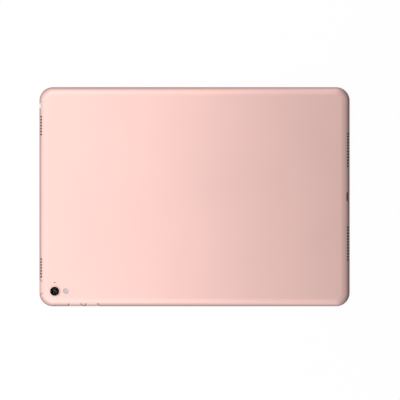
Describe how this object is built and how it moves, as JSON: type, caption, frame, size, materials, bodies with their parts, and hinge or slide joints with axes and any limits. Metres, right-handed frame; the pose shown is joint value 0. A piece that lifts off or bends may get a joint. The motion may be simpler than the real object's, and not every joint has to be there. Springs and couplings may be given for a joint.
{
  "type": "tablet computer",
  "caption": "Thin tablet computer lying on its glass: rose-gold metal shell with curved edges, corner camera and flash, side keys, speaker holes, headphone and dock sockets.",
  "frame": {"origin": "centre of the cover glass's outer face, which is the plane the tablet rests on", "axes": "+X along the long side, from the camera end to the home button end; +Y along the short side, away from the volume keys; +Z out of the rear face"},
  "size_m": [0.24, 0.1694, 0.007],
  "materials": {
    "anodised_aluminium": "fine bead-blasted rose-gold anodising",
    "cover_glass": "polished, oil-repelling coat",
    "white_bezel": "white ink seen through the glass",
    "gasket": "moulded",
    "adhesive": "adhesive tape",
    "display_black": "display that is switched off",
    "steel_sheet": "stamped sheet",
    "flex_ribbon": "amber polyimide ribbon",
    "home_white": "polished crystal over white ink",
    "polished_trim": "polished rose-gold ring",
    "sensor_black": "matt",
    "black_rubber": "moulded silicone",
    "circuit_board": "solder mask",
    "camera_trim": "polished and anodised rose gold",
    "lens_glass": "coated optical glass",
    "black_plastic": "black moulding",
    "flash_window": "frosted diffuser",
    "flash_phosphor": "light-emitter phosphor",
    "socket_white": "white moulding",
    "gold_contact": "gold plated",
    "mesh_black": "woven acoustic mesh",
    "accessory_metal": "tinted plating",
    "insulator_plastic": "moulded",
    "battery_pouch": "laminated pouch",
    "logic_board": "solder mask",
    "chip_black": "moulded",
    "screw_steel": "machined",
    "antenna_copper": "plated copper"
  },
  "bodies": {
    "tablet": {"rear_housing": "anodised_aluminium", "cover_glass": "cover_glass", "bezel_mask": "white_bezel", "glass_gasket": "gasket", "glass_adhesive": "adhesive", "lcd_panel": "display_black", "backlight_tray": "steel_sheet", "display_flex": "flex_ribbon", "home_button_gasket": "black_rubber", "home_button_switch": "steel_sheet", "home_button_bracket": "steel_sheet", "volume_switch_board": "circuit_board", "power_switch_board": "circuit_board", "side_key_flex": "flex_ribbon", "camera_ring": "camera_trim", "camera_glass": "lens_glass", "camera_lens_barrel": "black_plastic", "camera_lens_element": "lens_glass", "camera_module": "black_plastic", "camera_flex": "flex_ribbon", "flash_window": "flash_window", "flash_leds": "flash_phosphor", "rear_microphone": "steel_sheet", "side_microphone": "steel_sheet", "front_camera": "black_plastic", "front_camera_lens": "lens_glass", "light_sensor": "sensor_black", "headphone_socket": "socket_white", "headphone_trim_ring": "socket_white", "audio_flex": "flex_ribbon", "dock_connector_shell": "black_plastic", "dock_connector_contacts": "gold_contact", "dock_flex": "flex_ribbon", "speaker_left_upper": "black_plastic", "speaker_left_lower": "black_plastic", "speaker_right_upper": "black_plastic", "speaker_right_lower": "black_plastic", "speaker_meshes": "mesh_black", "accessory_contacts": "accessory_metal", "accessory_insulators": "insulator_plastic", "battery_cell_left": "battery_pouch", "battery_cell_right": "battery_pouch", "battery_board": "circuit_board", "logic_board": "logic_board", "processor_shield": "steel_sheet", "radio_shield": "steel_sheet", "logic_chips": "chip_black", "board_screws": "screw_steel", "antenna_upper": "antenna_copper", "antenna_lower": "antenna_copper"},
    "volume_up_key": {"volume_up_button": "anodised_aluminium"},
    "volume_down_key": {"volume_down_button": "anodised_aluminium"},
    "power_key": {"power_button": "anodised_aluminium"},
    "home_key": {"home_button_cap": "home_white", "home_button_ring": "polished_trim", "fingerprint_sensor": "sensor_black"}
  },
  "joints": [
    {"name": "volume_up_press", "type": "slide", "parent": "tablet", "child": "volume_up_key", "axis": [0, 1, 0], "range_m": [0, 0.0003], "stiffness_N_per_m": 1200},
    {"name": "volume_down_press", "type": "slide", "parent": "tablet", "child": "volume_down_key", "axis": [0, 1, 0], "range_m": [0, 0.0003], "stiffness_N_per_m": 1200},
    {"name": "power_press", "type": "slide", "parent": "tablet", "child": "power_key", "axis": [1, 0, 0], "range_m": [0, 0.0003], "stiffness_N_per_m": 1200},
    {"name": "home_press", "type": "slide", "parent": "tablet", "child": "home_key", "axis": [0, 0, 1], "range_m": [0, 0.0003], "stiffness_N_per_m": 1500}
  ]
}
